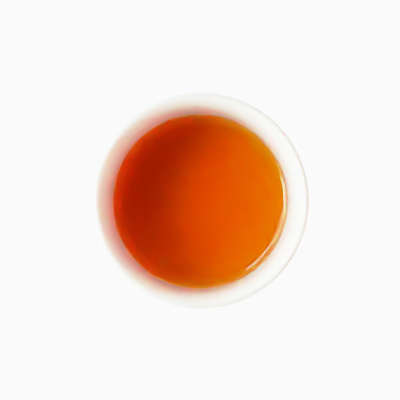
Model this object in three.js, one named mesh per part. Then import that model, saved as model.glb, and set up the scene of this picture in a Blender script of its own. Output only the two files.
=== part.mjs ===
// A cup of black tea: a white porcelain cup without a handle, flared at the lip and standing on a
// foot ring, and the tea in it, whose edge is drawn a little way up the wall.
// Millimetres, +Z up. The origin is the centre of the plane that the foot ring rests on.
import * as THREE from "three";

// Cup
const RIM_DIAMETER = 80;
const CUP_HEIGHT = 48;
const LIP_THICKNESS = 2.4;
const LIP_LEAN = THREE.MathUtils.degToRad(42); // of the wall at the lip, away from upright
const LIP_SHARE = 0.22; // of the flare, over which the wall keeps about the lip's lean
const WAIST_RADIUS = 31.8; // inside, where the bowl turns into the flare
const WAIST_HEIGHT = 19;
const WAIST_LEAN = THREE.MathUtils.degToRad(10);
const WAIST_SHARE = 0.5; // of the flare, over which the wall keeps about the waist's lean
const WAIST_THICKNESS = 2.9;
const FLOOR_RADIUS = 12; // the flat of the floor, inside
const FLOOR_HEIGHT = 7.5;
const ROUNDNESS = 0.58; // of the bowl: 0.55 is a quarter of an ellipse, 1 a square corner

// Foot ring
const FOOT_DIAMETER = 40;
const FOOT_HEIGHT = 5;
const FOOT_THICKNESS = 3;
const FOOT_CHAMFER = 0.6; // on both edges of the resting face
const RECESS_HEIGHT = 3.8; // the cup's underside, above the resting face

// Tea
const TEA_LEVEL = 31;
const EDGE_RISE = 2; // how far the tea climbs the wall
const CAPILLARY_LENGTH = 2.7; // of hot water
const WALL_GAP = 0.3; // between the tea and the porcelain
const FLAT_RISE = 0.02; // under this, the tea's surface counts as level

// Fineness
const TURN_STEPS = 64;
const CURVE_STEPS = 7;
const EDGE_STEPS = 7;

const PORCELAIN = new THREE.MeshStandardMaterial({ color: 0xf4f3ef, roughness: 0.12, metalness: 0 });
const BLACK_TEA = new THREE.MeshStandardMaterial({ color: 0xd24a06, roughness: 0.03, metalness: 0 });

// A section point: distance from the axis, then height.
const point = (radius, height) => new THREE.Vector2(radius, height);

// The point that lies a given length from another, on a line that leans away from upright.
const along = (from, lean, length) =>
  point(from.x + length * Math.sin(lean), from.y + length * Math.cos(lean));

const lipRadius = LIP_THICKNESS / 2;
const lipCentre = point(RIM_DIAMETER / 2 - lipRadius, CUP_HEIGHT - lipRadius);
const acrossWall = LIP_LEAN + Math.PI / 2;
const outerLip = along(lipCentre, acrossWall, lipRadius);
const innerLip = along(lipCentre, acrossWall, -lipRadius);
const innerWaist = point(WAIST_RADIUS, WAIST_HEIGHT);
const outerWaist = along(innerWaist, WAIST_LEAN + Math.PI / 2, WAIST_THICKNESS);
const floorEdge = point(FLOOR_RADIUS, FLOOR_HEIGHT);
const footCorner = point(FOOT_DIAMETER / 2, FOOT_HEIGHT);

// The flare between the waist and the lip. Each end keeps its lean over its share of the way.
function flare(waist, lip) {
  const length = waist.distanceTo(lip);
  return new THREE.CubicBezierCurve(
    waist,
    along(waist, WAIST_LEAN, WAIST_SHARE * length),
    along(lip, LIP_LEAN, -LIP_SHARE * length),
    lip,
  );
}

// The bowl between its flat bottom and the waist: level at the bottom, steep at the waist.
function bowl(bottom, waist) {
  const { x: width, y: height } = waist.clone().sub(bottom);
  return new THREE.CubicBezierCurve(
    bottom,
    point(bottom.x + ROUNDNESS * width, bottom.y),
    along(waist, WAIST_LEAN, -ROUNDNESS * height),
    waist,
  );
}

const innerBowl = bowl(floorEdge, innerWaist);
const innerFlare = flare(innerWaist, innerLip);

// Turns a section that starts and ends on the axis into a solid about +Z.
function turned(section) {
  return new THREE.LatheGeometry(section, TURN_STEPS).rotateX(Math.PI / 2);
}

// The cup's section, from the underside's middle round the foot, up the outside and down the inside.
function cupSection() {
  const ringInside = FOOT_DIAMETER / 2 - FOOT_THICKNESS;
  const ringOutside = FOOT_DIAMETER / 2;
  const section = new THREE.Path();
  section.moveTo(0, RECESS_HEIGHT);
  section.lineTo(ringInside - FOOT_CHAMFER, RECESS_HEIGHT);
  section.lineTo(ringInside, RECESS_HEIGHT - FOOT_CHAMFER);
  section.lineTo(ringInside, FOOT_CHAMFER);
  section.lineTo(ringInside + FOOT_CHAMFER, 0);
  section.lineTo(ringOutside - FOOT_CHAMFER, 0);
  section.lineTo(ringOutside, FOOT_CHAMFER);
  section.lineTo(footCorner.x, footCorner.y);
  section.curves.push(bowl(footCorner, outerWaist), flare(outerWaist, outerLip));
  section.absarc(lipCentre.x, lipCentre.y, lipRadius, -LIP_LEAN, Math.PI - LIP_LEAN, false);
  const outside = section.getPoints(CURVE_STEPS);
  const inside = [...innerBowl.getPoints(CURVE_STEPS), ...innerFlare.getPoints(CURVE_STEPS).slice(1, -1)];
  return [...outside, ...inside.reverse(), point(0, FLOOR_HEIGHT)];
}

// A point of an inner wall's curve, moved off the porcelain by the gap.
function besideWall(curve, share) {
  const direction = curve.getTangent(share);
  return point(-direction.y, direction.x).multiplyScalar(WALL_GAP).add(curve.getPoint(share));
}

// The share of the flare that lies below a height, found by halving.
function shareBelow(height) {
  let low = 0;
  let high = 1;
  for (let step = 0; step < 40; step++) {
    const middle = (low + high) / 2;
    if (besideWall(innerFlare, middle).y < height) low = middle;
    else high = middle;
  }
  return low;
}

// How far from the wall the tea's edge still stands at a given rise above the level. Surface tension
// and weight balance on this curve.
function distanceFromWall(rise) {
  const double = 2 * CAPILLARY_LENGTH;
  const reach = (h) => CAPILLARY_LENGTH * Math.acosh(double / h) - Math.sqrt(double ** 2 - h ** 2);
  return reach(rise) - reach(EDGE_RISE);
}

// The tea's section, from the middle of its bottom along the wall to its edge and back to the axis.
function teaSection() {
  const wetShare = shareBelow(TEA_LEVEL + EDGE_RISE);
  const section = [point(0, FLOOR_HEIGHT + WALL_GAP)];
  for (let step = 0; step < CURVE_STEPS; step++) section.push(besideWall(innerBowl, step / CURVE_STEPS));
  for (let step = 0; step <= CURVE_STEPS; step++)
    section.push(besideWall(innerFlare, (wetShare * step) / CURVE_STEPS));
  const edge = section.at(-1);
  for (let step = 1; step <= EDGE_STEPS; step++) {
    const rise = EDGE_RISE * (FLAT_RISE / EDGE_RISE) ** (step / EDGE_STEPS);
    section.push(point(edge.x - distanceFromWall(rise), TEA_LEVEL + rise));
  }
  section.push(point(0, TEA_LEVEL));
  return section;
}

function piece(name, section, material) {
  const mesh = new THREE.Mesh(turned(section), material);
  mesh.name = name;
  return mesh;
}

const cupOfTea = new THREE.Group();
cupOfTea.add(piece("cup", cupSection(), PORCELAIN));
cupOfTea.add(piece("tea", teaSection(), BLACK_TEA));

export default cupOfTea;
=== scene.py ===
"""A cup of black tea: a porcelain cup without a handle, the tea in it, and a studio around them."""

import math

import bmesh
import bpy
from bpy.props import FloatProperty, FloatVectorProperty, PointerProperty
from mathutils import Matrix, Vector
from mathutils.geometry import interpolate_bezier


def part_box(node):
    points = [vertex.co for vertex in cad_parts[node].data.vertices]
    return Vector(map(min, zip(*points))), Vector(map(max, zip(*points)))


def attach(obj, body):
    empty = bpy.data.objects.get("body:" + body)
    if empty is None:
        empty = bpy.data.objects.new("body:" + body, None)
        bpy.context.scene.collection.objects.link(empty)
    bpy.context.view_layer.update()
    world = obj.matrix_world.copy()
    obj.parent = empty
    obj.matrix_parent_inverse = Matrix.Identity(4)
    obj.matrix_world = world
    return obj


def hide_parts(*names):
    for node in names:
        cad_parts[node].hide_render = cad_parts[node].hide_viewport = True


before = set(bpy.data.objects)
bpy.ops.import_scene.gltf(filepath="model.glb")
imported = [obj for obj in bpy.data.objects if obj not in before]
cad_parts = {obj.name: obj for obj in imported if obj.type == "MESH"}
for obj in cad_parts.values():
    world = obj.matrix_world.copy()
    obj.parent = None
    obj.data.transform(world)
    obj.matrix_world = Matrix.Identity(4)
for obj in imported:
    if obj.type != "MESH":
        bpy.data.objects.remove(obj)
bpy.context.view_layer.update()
CUP_LOW, CUP_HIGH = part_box("cup")
TEA_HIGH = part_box("tea")[1]
BODY = "root"
MM = 0.001

bl_info = {
    "name": "Cup of Black Tea",
    "version": (1, 0, 0),
    "blender": (4, 5, 0),
    "location": "3D View > Sidebar > Tea",
    "description": "Makes a porcelain cup, pours black tea into it and sets up a studio for them",
    "category": "Object",
}

# Fineness of the turned pieces
TURN_STEPS = 192
CURVE_STEPS = 40
LIP_STEPS = 20
CORNER_STEPS = 6
EDGE_STEPS = 48
SAME_POINT = 0.0001 * MM  # points closer than this are joined
MOST_POINTS = 1_000_000  # more than a piece has

# The glaze. A noise's scale is about how many spots it has in a metre.
CLOUD_SCALE, CLOUD_DETAIL = 55.0, 4.0  # slow changes of the white
CLOUD_RANGE = 0.35, 0.7  # of that noise, from the glaze to its cooler patches
PEEL_SCALE, PEEL_DETAIL = 420.0, 2.0  # faint dimples
GRAIN_SCALE, GRAIN_DETAIL = 5200.0, 3.0  # of the bare ring
GRAIN_RANGE = 0.3, 0.75  # of that noise, from the biscuit to its darker grains
GRAIN_SHADE = 0.88  # how dark those grains are, next to the biscuit
GLAZE_WAVER = 0.5 * MM  # how far the glaze's lower edge wanders up and down
GLAZE_START, GLAZE_FULL = 0.7 * MM, 1.0 * MM  # heights between which the glaze begins
POOL_DEPTH = 0.8  # how much of the pooled colour shows
POOL_HEIGHT = 3 * MM  # how far above the foot it still shows
GLAZE_ROUGHNESS, CLOUD_ROUGHNESS, BARE_ROUGHNESS = 0.06, 0.05, 0.6  # these add up
PEEL_DEPTH = 0.35  # of the dimples, where the bare ring's grain is 1
RELIEF, RELIEF_STRENGTH = 0.02 * MM, 0.25
PORCELAIN_IOR = 1.5
THIN_RISE = 10 * MM  # above the waist, over which the wall turns thin

# How far red, green and blue light wander in the thick bowl and in the thin wall
THICK_GLOW = (1.0, 0.6, 0.4)
THIN_GLOW = (3.0, 0.4, 0.3)

# The tea
TEA_IOR = 1.333
TREMBLE_SCALE, TREMBLE_DETAIL = 60.0, 1.0  # of the surface
TREMBLE, TREMBLE_STRENGTH = 0.02 * MM, 0.1
EDGE_RISE = 2 * MM  # how far the tea climbs the wall
FLAT_RISE = 0.005 * MM  # under this, the surface counts as level

# How bright the view shows light of a given strength: soft in the shadows and in the highlights
TONE_CURVE = (
    (0.004, 0.002),
    (0.012, 0.0065),
    (0.03, 0.0197),
    (0.06, 0.0594),
    (0.12, 0.1673),
    (0.22, 0.2891),
    (0.35, 0.4707),
    (0.5, 0.69),
    (0.65, 0.7999),
    (0.8, 0.8689),
    (1.0, 0.9212),
    (1.25, 0.9496),
    (1.6, 0.9643),
    (2.2, 0.975),
    (3.2, 0.9848),
)

# The soft boxes: brightness, azimuth from +X, width, and lower and upper edge, in degrees
SOFT_EDGE = 1.5
SOFT_BOXES = (
    (12.7, 132.5, 25, 54, 64),
    (3.27, 157.5, 25, 34, 44),
    (7.59, 157.5, 25, 44, 54),
    (4.11, 157.5, 25, 54, 64),
    (13.43, 182.5, 25, 34, 44),
    (20.0, 182.5, 25, 44, 54),
    (6.6, 170, 60, 0, 12),
    (6.6, 220, 40, 0, 12),
    (0.65, 107.5, 25, 10, 50),
    (2.4, 95, 70, 0, 10),
    (0.18, 57.5, 75, 0, 30),
    (2.2, 320, 120, 0, 6),
    (2.3, 320, 120, 6, 14),
    (0.88, 320, 120, 14, 25),
    (0.1, -10, 220, 45, 75),
)

# The studio's floor, in metres
FLOOR_RADIUS = 4
FLOOR_STEPS = 96
FLOOR_DROP = 0.05 * MM  # under the face that the cup rests on

# The photograph's frame, in pixels
FRAME_WIDTH = 400
RIM_RADIUS_PX = 108.1
RIM_CENTRE_PX = (1.2, -0.4)  # to the right of the frame's middle, and above it
NEAREST_VIEW = 10 * MM  # of the camera

# Places in the Mix node, which has a set of sockets for each kind of value
MIX_FACTOR, MIX_A, MIX_B, MIX_RESULT = 0, 6, 7, 2


def length(name, description, default):
    """A size that the sidebar shows in the scene's units."""
    return FloatProperty(
        name=name, description=description, default=default, min=0, precision=5, unit="LENGTH"
    )


def angle(name, description, default):
    """An angle, given here in degrees."""
    turn = math.radians(default)
    return FloatProperty(name=name, description=description, default=turn, subtype="ANGLE")


def amount(name, description, default):
    """A plain number."""
    return FloatProperty(name=name, description=description, default=default, min=0, precision=4)


def colour(name, description, default):
    """A linear colour."""
    return FloatVectorProperty(
        name=name, description=description, default=default, min=0, max=1, size=3, subtype="COLOR"
    )


class CupSizes(bpy.types.PropertyGroup):
    """Sizes of the porcelain cup."""

    rim_diameter: length("Rim Diameter", "Across the outside of the lip", CUP_HIGH.x - CUP_LOW.x)
    height: length("Height", "From the foot's resting face to the top of the lip", CUP_HIGH.z)
    lip_thickness: length("Lip Thickness", "Through the wall at the lip", 2.4 * MM)
    lip_lean: angle("Lip Lean", "Of the wall at the lip, away from upright", 42)
    lip_share: amount("Lip Share", "How far down the flare the lip's lean is kept", 0.22)
    waist_radius: length("Waist Radius", "Inside, where the bowl turns into the flare", 31.8 * MM)
    waist_height: length("Waist Height", "Of that turn, above the resting face", 19 * MM)
    waist_lean: angle("Waist Lean", "Of the wall at that turn, away from upright", 10)
    waist_share: amount("Waist Share", "How far up the flare the waist's lean is kept", 0.5)
    waist_thickness: length("Waist Thickness", "Through the wall at that turn", 2.9 * MM)
    floor_radius: length("Floor Radius", "Of the flat in the bottom of the bowl", 12 * MM)
    floor_height: length("Floor Height", "Of that flat, above the resting face", 7.5 * MM)
    roundness: amount("Roundness", "Of the bowl: 0.55 is a round quarter, 1 a square corner", 0.58)
    foot_diameter: length("Foot Diameter", "Across the outside of the foot ring", 40 * MM)
    foot_height: length("Foot Height", "From the resting face to the bowl", 5 * MM)
    foot_thickness: length("Foot Thickness", "Through the foot ring", 3 * MM)
    foot_round: length("Foot Rounding", "On the edges of the foot ring", 0.6 * MM)
    recess_height: length("Recess Height", "Of the underside, above the resting face", 3.8 * MM)


class TeaSizes(bpy.types.PropertyGroup):
    """Sizes of the tea in the cup."""

    level: length("Level", "Of its flat middle, above the resting face", TEA_HIGH.z - EDGE_RISE)
    edge_rise: length("Edge Rise", "How far the tea climbs the wall", EDGE_RISE)
    capillary_length: length("Capillary Length", "Sets how wide the raised edge is", 2.7 * MM)
    wall_overlap: length("Wall Overlap", "How far the tea reaches into the glaze", 0.15 * MM)


class Finishes(bpy.types.PropertyGroup):
    """Colours of the glaze, the bare foot and the tea."""

    glaze: colour("Glaze", "White of the glaze", (0.994, 0.92, 0.815))
    glaze_shade: colour("Glaze Shade", "The glaze's cooler patches", (0.992, 0.915, 0.825))
    pooled_glaze: colour("Pooled Glaze", "Where it is thick, over the foot", (0.74, 0.79, 0.78))
    biscuit: colour("Biscuit", "The bare ring that the cup stands on", (0.78, 0.73, 0.64))
    glow_depth: length("Glow Depth", "How far light wanders inside the porcelain", 2 * MM)
    tea: colour("Tea", "What a thin layer of tea lets through", (0.999, 0.88, 0.0))
    tea_strength: amount("Tea Strength", "How much the tea absorbs, in each metre", 300)


class StudioSettings(bpy.types.PropertyGroup):
    """Floor, light and view."""

    floor: colour("Floor", "The pale floor", (1.0, 1.0, 1.0))
    floor_glow: amount("Floor Glow", "How bright the floor looks", 1.4)
    floor_light: amount("Floor Light", "Light that the floor throws on the cup", 0.5)
    contact_shade: length("Contact Shade", "How far the shade under the cup reaches", 15 * MM)
    contact_depth: amount("Contact Depth", "How fast that shade grows towards the cup", 1.5)
    under_light: amount("Under Light", "How much of the floor's light reaches under the foot", 0.4)
    sky: amount("Sky", "Brightness of the even light all around", 0.02)
    brightness: amount("Brightness", "Of the soft boxes", 1.0)
    view_tilt: angle("View Tilt", "Of the view, away from straight down", 2.1)
    view_side: angle("View Side", "The side that the camera stands on, from +X", 232)
    focal_length: amount("Focal Length", "Of the camera, in millimetres", 100)


class Wire:
    """A shader socket that arithmetic can be written with: each operation adds a Math node."""

    def __init__(self, tree, socket=None):
        self.tree = tree
        self.socket = socket

    def node(self, kind, settings=None, values=None, output=0):
        """Adds a node: first its settings, then the values or links of its sockets."""
        added = self.tree.nodes.new(kind)
        for name, value in (settings or {}).items():
            setattr(added, name, value)
        for place, value in (values or {}).items():
            if isinstance(value, Wire):
                self.tree.links.new(value.socket, added.inputs[place])
            else:
                added.inputs[place].default_value = value
        return Wire(self.tree, added.outputs[output] if added.outputs else None)

    def out(self, name):
        """Another output of the same node."""
        return Wire(self.tree, self.socket.node.outputs[name])

    def math(self, operation, *terms):
        """The result of a Math node."""
        return self.node("ShaderNodeMath", {"operation": operation}, dict(enumerate(terms)))

    def __add__(self, other):
        return self.math("ADD", self, other)

    def __sub__(self, other):
        return self.math("SUBTRACT", self, other)

    def __rsub__(self, other):
        return self.math("SUBTRACT", other, self)

    def __mul__(self, other):
        return self.math("MULTIPLY", self, other)

    def __truediv__(self, other):
        return self.math("DIVIDE", self, other)

    def __rtruediv__(self, other):
        return self.math("DIVIDE", other, self)

    __radd__ = __add__
    __rmul__ = __mul__

    def ramp(self, low, high):
        """0 at low and 1 at high, with a smooth step between them."""
        settings = {"interpolation_type": "SMOOTHSTEP"}
        values = {"Value": self, "From Min": low, "From Max": high}
        return self.node("ShaderNodeMapRange", settings, values)

    def noise(self, scale, detail):
        """Soft spots over this place."""
        values = {"Vector": self, "Scale": scale, "Detail": detail}
        return self.node("ShaderNodeTexNoise", values=values)

    def bump(self, distance, strength):
        """The surface's tilt, with this value as its height."""
        values = {"Height": self, "Distance": distance, "Strength": strength}
        return self.node("ShaderNodeBump", values=values)

    def mix(self, first, second):
        """From the first colour to the second, as this value goes from 0 to 1."""
        values = {MIX_FACTOR: self, MIX_A: opaque(first), MIX_B: opaque(second)}
        return self.node("ShaderNodeMix", {"data_type": "RGBA"}, values, MIX_RESULT)

    def layer(self, first, second):
        """From the first surface to the second, as this value goes from 0 to 1."""
        return self.node("ShaderNodeMixShader", values={0: self, 1: first, 2: second})


def opaque(value):
    """A colour with its alpha, where it has none yet."""
    return value if isinstance(value, Wire) else (*value[:3], 1.0)


def new_tree(name):
    """A material with no nodes, and the start of its wiring."""
    material = bpy.data.materials.new(name)
    material.use_nodes = True
    material.node_tree.nodes.clear()
    return material, Wire(material.node_tree)


def glaze_material(name, finishes, sizes, ior):
    """White glaze, thick and cool over the foot, and left off the ring that the cup stands on."""
    material, wiring = new_tree(name)
    place = wiring.node("ShaderNodeTexCoord").out("Object")
    height = wiring.node("ShaderNodeSeparateXYZ", values={"Vector": place}).out("Z")
    cloud = place.noise(CLOUD_SCALE, CLOUD_DETAIL)
    peel = place.noise(PEEL_SCALE, PEEL_DETAIL)
    grain = place.noise(GRAIN_SCALE, GRAIN_DETAIL)

    edge = height + (cloud - 0.5) * GLAZE_WAVER
    bare = 1 - edge.ramp(GLAZE_START, GLAZE_FULL)
    over_foot = edge.ramp(GLAZE_FULL, sizes.foot_height)
    above_foot = edge.ramp(sizes.foot_height, sizes.foot_height + POOL_HEIGHT)
    pooled = over_foot * (1 - above_foot) * POOL_DEPTH

    white = cloud.ramp(*CLOUD_RANGE).mix(finishes.glaze, finishes.glaze_shade)
    glazed = pooled.mix(white, finishes.pooled_glaze)
    dark_grain = [GRAIN_SHADE * part for part in finishes.biscuit]
    biscuit = grain.ramp(*GRAIN_RANGE).mix(finishes.biscuit, dark_grain)
    base = bare.mix(glazed, biscuit)
    roughness = GLAZE_ROUGHNESS + cloud * CLOUD_ROUGHNESS + bare * BARE_ROUGHNESS
    relief = peel * (1 - bare) * PEEL_DEPTH + grain * bare
    bump = relief.bump(RELIEF, RELIEF_STRENGTH)

    def body(glow):
        """The glazed porcelain, with how far each colour of light wanders in it."""
        values = {
            "Base Color": base,
            "Roughness": roughness,
            "Normal": bump,
            "IOR": ior,
            "Subsurface Weight": 1.0,
            "Subsurface Radius": glow,
            "Subsurface Scale": finishes.glow_depth,
        }
        return wiring.node("ShaderNodeBsdfPrincipled", values=values)

    thin = height.ramp(sizes.waist_height, sizes.waist_height + THIN_RISE)
    porcelain = thin.layer(body(THICK_GLOW), body(THIN_GLOW))
    wiring.node("ShaderNodeOutputMaterial", values={"Surface": porcelain})
    return material


def tea_material(finishes):
    """Clear liquid that takes the blue and much of the green out of what shines through it."""
    material, wiring = new_tree("black_tea")
    place = wiring.node("ShaderNodeTexCoord").out("Object")
    tremble = place.noise(TREMBLE_SCALE, TREMBLE_DETAIL)
    values = {
        "Base Color": (1.0, 1.0, 1.0, 1.0),
        "Roughness": 0.0,
        "IOR": TEA_IOR,
        "Transmission Weight": 1.0,
        "Normal": tremble.bump(TREMBLE, TREMBLE_STRENGTH),
    }
    surface = wiring.node("ShaderNodeBsdfPrincipled", values=values)
    body = {"Color": opaque(finishes.tea), "Density": finishes.tea_strength}
    depth = wiring.node("ShaderNodeVolumeAbsorption", values=body)
    wiring.node("ShaderNodeOutputMaterial", values={"Surface": surface, "Volume": depth})
    return material


def at(radius, height):
    """A point of a section: its distance from the axis, then its height."""
    return Vector((radius, height))


def along(start, lean, distance):
    """The point at a distance from another, on a line that leans away from upright."""
    return start + distance * at(math.sin(lean), math.cos(lean))


def flare(sizes, waist, lip):
    """The wall between the waist and the lip. Each end keeps its lean for its share of the way."""
    reach = (lip - waist).length
    above_waist = along(waist, sizes.waist_lean, sizes.waist_share * reach)
    below_lip = along(lip, sizes.lip_lean, -sizes.lip_share * reach)
    return interpolate_bezier(waist, above_waist, below_lip, lip, CURVE_STEPS)


def bowl(sizes, bottom, waist):
    """The wall between the flat bottom and the waist: level at the bottom, steep at the waist."""
    side = sizes.roundness * (waist - bottom)
    ends = bottom, bottom + at(side.x, 0), along(waist, sizes.waist_lean, -side.y), waist
    return interpolate_bezier(*ends, CURVE_STEPS)


def corner(centre, radius, first, last, steps):
    """A round corner's points, from one angle to another, in degrees from outward."""
    points = []
    for step in range(steps + 1):
        turn = math.radians(first + (last - first) * step / steps)
        points.append(centre + radius * at(math.cos(turn), math.sin(turn)))
    return points


def lip_centre(sizes):
    """The middle of the lip's round edge."""
    edge = sizes.lip_thickness / 2
    return at(sizes.rim_diameter / 2 - edge, sizes.height - edge)


def inner_wall(sizes):
    """The inside of the cup, from the edge of its flat floor up to the lip."""
    waist = at(sizes.waist_radius, sizes.waist_height)
    lip = along(lip_centre(sizes), sizes.lip_lean + math.pi / 2, -sizes.lip_thickness / 2)
    bottom = at(sizes.floor_radius, sizes.floor_height)
    return bowl(sizes, bottom, waist)[:-1] + flare(sizes, waist, lip)


def outer_wall(sizes):
    """The outside of the cup, from the top of the foot ring up to the lip."""
    inner_waist = at(sizes.waist_radius, sizes.waist_height)
    waist = along(inner_waist, sizes.waist_lean + math.pi / 2, sizes.waist_thickness)
    lip = along(lip_centre(sizes), sizes.lip_lean + math.pi / 2, sizes.lip_thickness / 2)
    foot = at(sizes.foot_diameter / 2, sizes.foot_height)
    return bowl(sizes, foot, waist)[:-1] + flare(sizes, waist, lip)


def foot_ring(sizes):
    """The underside and the foot ring, from the axis to the ring's outside."""
    edge = sizes.foot_round
    outside = sizes.foot_diameter / 2
    inside = outside - sizes.foot_thickness
    hollow = corner(at(inside - edge, sizes.recess_height - edge), edge, 90, 0, CORNER_STEPS)
    inner_edge = corner(at(inside + edge, edge), edge, 180, 270, CORNER_STEPS)
    outer_edge = corner(at(outside - edge, edge), edge, 270, 360, CORNER_STEPS)
    return [at(0, sizes.recess_height), *hollow, *inner_edge, *outer_edge]


def cup_section(sizes):
    """Half of the cup cut through its axis, from the underside over the lip to the floor inside."""
    lean = math.degrees(sizes.lip_lean)
    lip = corner(lip_centre(sizes), sizes.lip_thickness / 2, -lean, 180 - lean, LIP_STEPS)
    inside = inner_wall(sizes)[::-1]
    middle = at(0, sizes.floor_height)
    return foot_ring(sizes) + outer_wall(sizes) + lip[1:-1] + inside + [middle]


def edge_distance(tea, rise):
    """How far from the wall the tea still stands at a rise above its level.

    Surface tension and weight balance on this curve.
    """
    double = 2 * tea.capillary_length

    def reach(height):
        flank = math.sqrt(double**2 - height**2)
        return tea.capillary_length * math.acosh(double / height) - flank

    return reach(rise) - reach(tea.edge_rise)


def contact_point(sizes, tea):
    """Where the tea's raised edge meets the wall."""
    height = tea.level + tea.edge_rise
    wall = inner_wall(sizes)
    for below, above in zip(wall, wall[1:]):
        if below.y <= height < above.y:
            return below.lerp(above, (height - below.y) / (above.y - below.y))
    raise ValueError("the tea stands higher than the cup's wall")


def tea_section(sizes, tea):
    """Half of the tea cut through its axis. Along the wall it reaches slightly into the glaze."""
    contact = contact_point(sizes, tea)
    wall = [point for point in inner_wall(sizes) if point.y < contact.y]
    points = [at(0, sizes.floor_height - tea.wall_overlap)]
    for low, high in zip(wall, [*wall[1:], contact]):
        outward = (high - low).orthogonal().normalized()
        points.append(low - tea.wall_overlap * outward)
    surface = []
    for step in range(EDGE_STEPS + 1):
        rise = tea.edge_rise * (FLAT_RISE / tea.edge_rise) ** (step / EDGE_STEPS)
        surface.append(at(contact.x - edge_distance(tea, rise), tea.level + rise))
    # The surface goes on into the wall, so that no gap shows at its edge.
    slope = (surface[0] - surface[1]).normalized()
    return [*points, contact + 2 * tea.wall_overlap * slope, *surface, at(0, tea.level)]


def in_order(face):
    """A number that puts a turned solid's faces in the same order each time."""
    places = [corner.index for corner in face.verts]
    return min(places) * MOST_POINTS + max(places)


def turned(name, section, *materials):
    """A smooth solid turned about the upright axis from half of its section."""
    mesh = bpy.data.meshes.new(name)
    shape = bmesh.new()
    corners = [shape.verts.new((point.x, 0, point.y)) for point in section]
    edges = [shape.edges.new(pair) for pair in zip(corners, corners[1:])]
    bmesh.ops.spin(
        shape,
        geom=corners + edges,
        cent=(0, 0, 0),
        axis=(0, 0, 1),
        angle=math.tau,
        steps=TURN_STEPS,
        use_merge=True,
    )
    bmesh.ops.remove_doubles(shape, verts=shape.verts, dist=SAME_POINT)
    bmesh.ops.recalc_face_normals(shape, faces=shape.faces)
    shape.verts.index_update()
    shape.faces.sort(key=in_order)
    for face in shape.faces:
        face.smooth = True
    shape.to_mesh(mesh)
    shape.free()
    piece = bpy.data.objects.new(name, mesh)
    bpy.context.scene.collection.objects.link(piece)
    for material in materials:
        mesh.materials.append(material)
    return piece


def place_piece(piece, node):
    """Puts a finished piece in the place of its plain solid."""
    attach(piece, BODY)
    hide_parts(node)


class TEACUP_OT_cup(bpy.types.Operator):
    """Makes the porcelain cup with its foot ring and glaze"""

    bl_idname = "teacup.make_cup"
    bl_label = "Make Cup"

    def execute(self, context):
        sizes, tea = context.scene.teacup_cup, context.scene.teacup_tea
        finishes = context.scene.teacup_finishes
        dry = glaze_material("porcelain_glaze", finishes, sizes, ior=PORCELAIN_IOR)
        wet = glaze_material("glaze_under_tea", finishes, sizes, ior=PORCELAIN_IOR / TEA_IOR)
        cup = turned("porcelain_cup", cup_section(sizes), dry, wet)
        # Where the glaze meets tea in place of air, it reflects less.
        waterline = contact_point(sizes, tea).y
        for face in cup.data.polygons:
            face.material_index = int(face.normal.z > 0 and face.center.z < waterline)
        place_piece(cup, "cup")
        return {"FINISHED"}


class TEACUP_OT_tea(bpy.types.Operator):
    """Pours the black tea into the cup"""

    bl_idname = "teacup.pour_tea"
    bl_label = "Pour Tea"

    def execute(self, context):
        section = tea_section(context.scene.teacup_cup, context.scene.teacup_tea)
        tea = turned("black_tea", section, tea_material(context.scene.teacup_finishes))
        place_piece(tea, "tea")
        return {"FINISHED"}


def toward(azimuth, elevation):
    """The direction at an azimuth from +X and a height over the horizon, in radians."""
    level = math.cos(elevation)
    return Vector((level * math.cos(azimuth), level * math.sin(azimuth), math.sin(elevation)))


def looking(place, target, up):
    """The placing of a camera that looks at a point."""
    back = (place - target).normalized()
    right = up.cross(back).normalized()
    turn = Matrix((right, back.cross(right), back)).transposed().to_4x4()
    return Matrix.Translation(place) @ turn


def soft_box(direction, brightness, azimuth, width, lower, upper):
    """The light of an evenly bright box on the sky, with slightly soft edges."""
    x, y, z = (direction.out(axis) for axis in "XYZ")
    turn = math.radians(azimuth)
    level = x.math("SQRT", x * x + y * y)
    facing = (x * math.cos(turn) + y * math.sin(turn)) / level

    def between(value, spread, first, last):
        return value.ramp(spread(math.radians(first)), spread(math.radians(last)))

    across = between(facing, math.cos, width / 2 + SOFT_EDGE, width / 2 - SOFT_EDGE)
    over = between(z, math.sin, lower - SOFT_EDGE, lower + SOFT_EDGE)
    under = between(z, math.sin, upper + SOFT_EDGE, upper - SOFT_EDGE)
    return across * over * under * brightness


def set_tone(view):
    """Shows the light through the tone curve."""
    view.view_transform = "Standard"
    view.use_curve_mapping = True
    tone = view.curve_mapping
    tone.use_clip = False
    for curve in tone.curves[:3]:
        curve.points[1].location = TONE_CURVE[-1]
        for light, shown in TONE_CURVE[:-1]:
            curve.points.new(light, shown)
    tone.update()


def floor_material(studio):
    """A pale floor that shines evenly, with a soft shade by the cup, and is clear from below."""
    material, wiring = new_tree("pale_floor")
    reach = {"Distance": studio.contact_shade}
    openness = wiring.node("ShaderNodeAmbientOcclusion", values=reach).out("AO")
    seen = wiring.node("ShaderNodeLightPath").out("Is Camera Ray")
    strength = seen * (studio.floor_glow - studio.floor_light) + studio.floor_light
    shade = openness.math("POWER", openness, studio.contact_depth)
    shade = shade + (1 - seen) * (1 - shade) * studio.under_light
    paint = shade.mix((0, 0, 0), studio.floor)
    glow = wiring.node("ShaderNodeEmission", values={"Color": paint, "Strength": strength})
    below = wiring.node("ShaderNodeNewGeometry").out("Backfacing")
    clear = wiring.node("ShaderNodeBsdfTransparent")
    wiring.node("ShaderNodeOutputMaterial", values={"Surface": below.layer(glow, clear)})
    return material


def lay_floor(scene, studio):
    """Lays the floor just under the cup."""
    mesh = bpy.data.meshes.new("floor")
    shape = bmesh.new()
    bmesh.ops.create_circle(shape, cap_ends=True, segments=FLOOR_STEPS, radius=FLOOR_RADIUS)
    shape.to_mesh(mesh)
    shape.free()
    mesh.materials.append(floor_material(studio))
    floor = bpy.data.objects.new("floor", mesh)
    floor.location.z = -FLOOR_DROP
    scene.collection.objects.link(floor)


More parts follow.
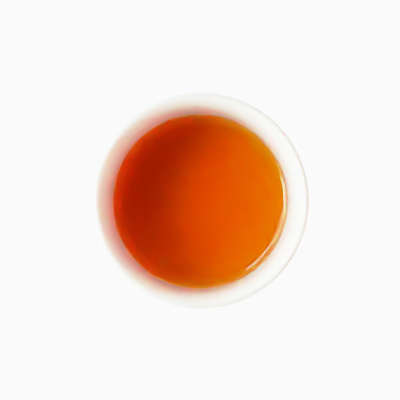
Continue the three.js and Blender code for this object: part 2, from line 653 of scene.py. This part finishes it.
def light_studio(scene, studio):
    """Hangs the soft boxes on the sky, which the camera sees as a pale wall."""
    world = bpy.data.worlds.new("studio")
    world.use_nodes = True
    world.node_tree.nodes.clear()
    sky = Wire(world.node_tree)
    heading = sky.node("ShaderNodeTexCoord").out("Generated")
    direction = sky.node("ShaderNodeSeparateXYZ", values={"Vector": heading})
    boxes = sum(soft_box(direction, *box) for box in SOFT_BOXES)
    light = boxes * studio.brightness + studio.sky
    seen = sky.node("ShaderNodeLightPath").out("Is Camera Ray")
    strength = seen * studio.floor_glow + (1 - seen) * light
    values = {"Color": (1, 1, 1, 1), "Strength": strength}
    shine = sky.node("ShaderNodeBackground", values=values)
    sky.node("ShaderNodeOutputWorld", values={"Surface": shine})
    scene.world = world


def aim_camera(scene, studio, sizes):
    """Puts the camera where the rim has its place and size in the photograph's frame."""
    camera = bpy.data.cameras.new("camera")
    camera.lens = studio.focal_length
    camera.clip_start = NEAREST_VIEW
    view = bpy.data.objects.new("camera", camera)
    scene.collection.objects.link(view)
    rim = Vector((0, 0, lip_centre(sizes).y))
    pixel = sizes.rim_diameter / 2 / RIM_RADIUS_PX
    target = rim - pixel * Vector((*RIM_CENTRE_PX, 0))
    distance = camera.lens / camera.sensor_width * FRAME_WIDTH * pixel
    back = toward(studio.view_side, math.pi / 2 - studio.view_tilt)
    view.matrix_world = looking(target + distance * back, target, Vector((0, 1, 0)))
    scene.camera = view


class TEACUP_OT_stage(bpy.types.Operator):
    """Sets up the floor, the light and the camera"""

    bl_idname = "teacup.set_stage"
    bl_label = "Set Stage"

    def execute(self, context):
        scene, studio = context.scene, context.scene.teacup_studio
        lay_floor(scene, studio)
        light_studio(scene, studio)
        aim_camera(scene, studio, scene.teacup_cup)
        set_tone(scene.view_settings)
        return {"FINISHED"}


class TEACUP_PT_panel(bpy.types.Panel):
    """Lists the sizes, finishes and studio settings, and what makes each piece"""

    bl_label = "Cup of Black Tea"
    bl_idname = "TEACUP_PT_panel"
    bl_space_type = "VIEW_3D"
    bl_region_type = "UI"
    bl_category = "Tea"

    def draw(self, context):
        for name, group in GROUPS.items():
            box = self.layout.box()
            for setting in group.__annotations__:
                box.prop(getattr(context.scene, name), setting)
        for operator in OPERATORS:
            self.layout.operator(operator.bl_idname)


GROUPS = {
    "teacup_cup": CupSizes,
    "teacup_tea": TeaSizes,
    "teacup_finishes": Finishes,
    "teacup_studio": StudioSettings,
}
OPERATORS = (TEACUP_OT_cup, TEACUP_OT_tea, TEACUP_OT_stage)
CLASSES = (*GROUPS.values(), *OPERATORS, TEACUP_PT_panel)


def register():
    for made in CLASSES:
        bpy.utils.register_class(made)
    for name, group in GROUPS.items():
        setattr(bpy.types.Scene, name, PointerProperty(type=group))


def unregister():
    for name in GROUPS:
        delattr(bpy.types.Scene, name)
    for made in reversed(CLASSES):
        bpy.utils.unregister_class(made)


def main():
    register()
    bpy.ops.teacup.make_cup()
    bpy.ops.teacup.pour_tea()
    bpy.ops.teacup.set_stage()


if __name__ == "__main__":
    main()
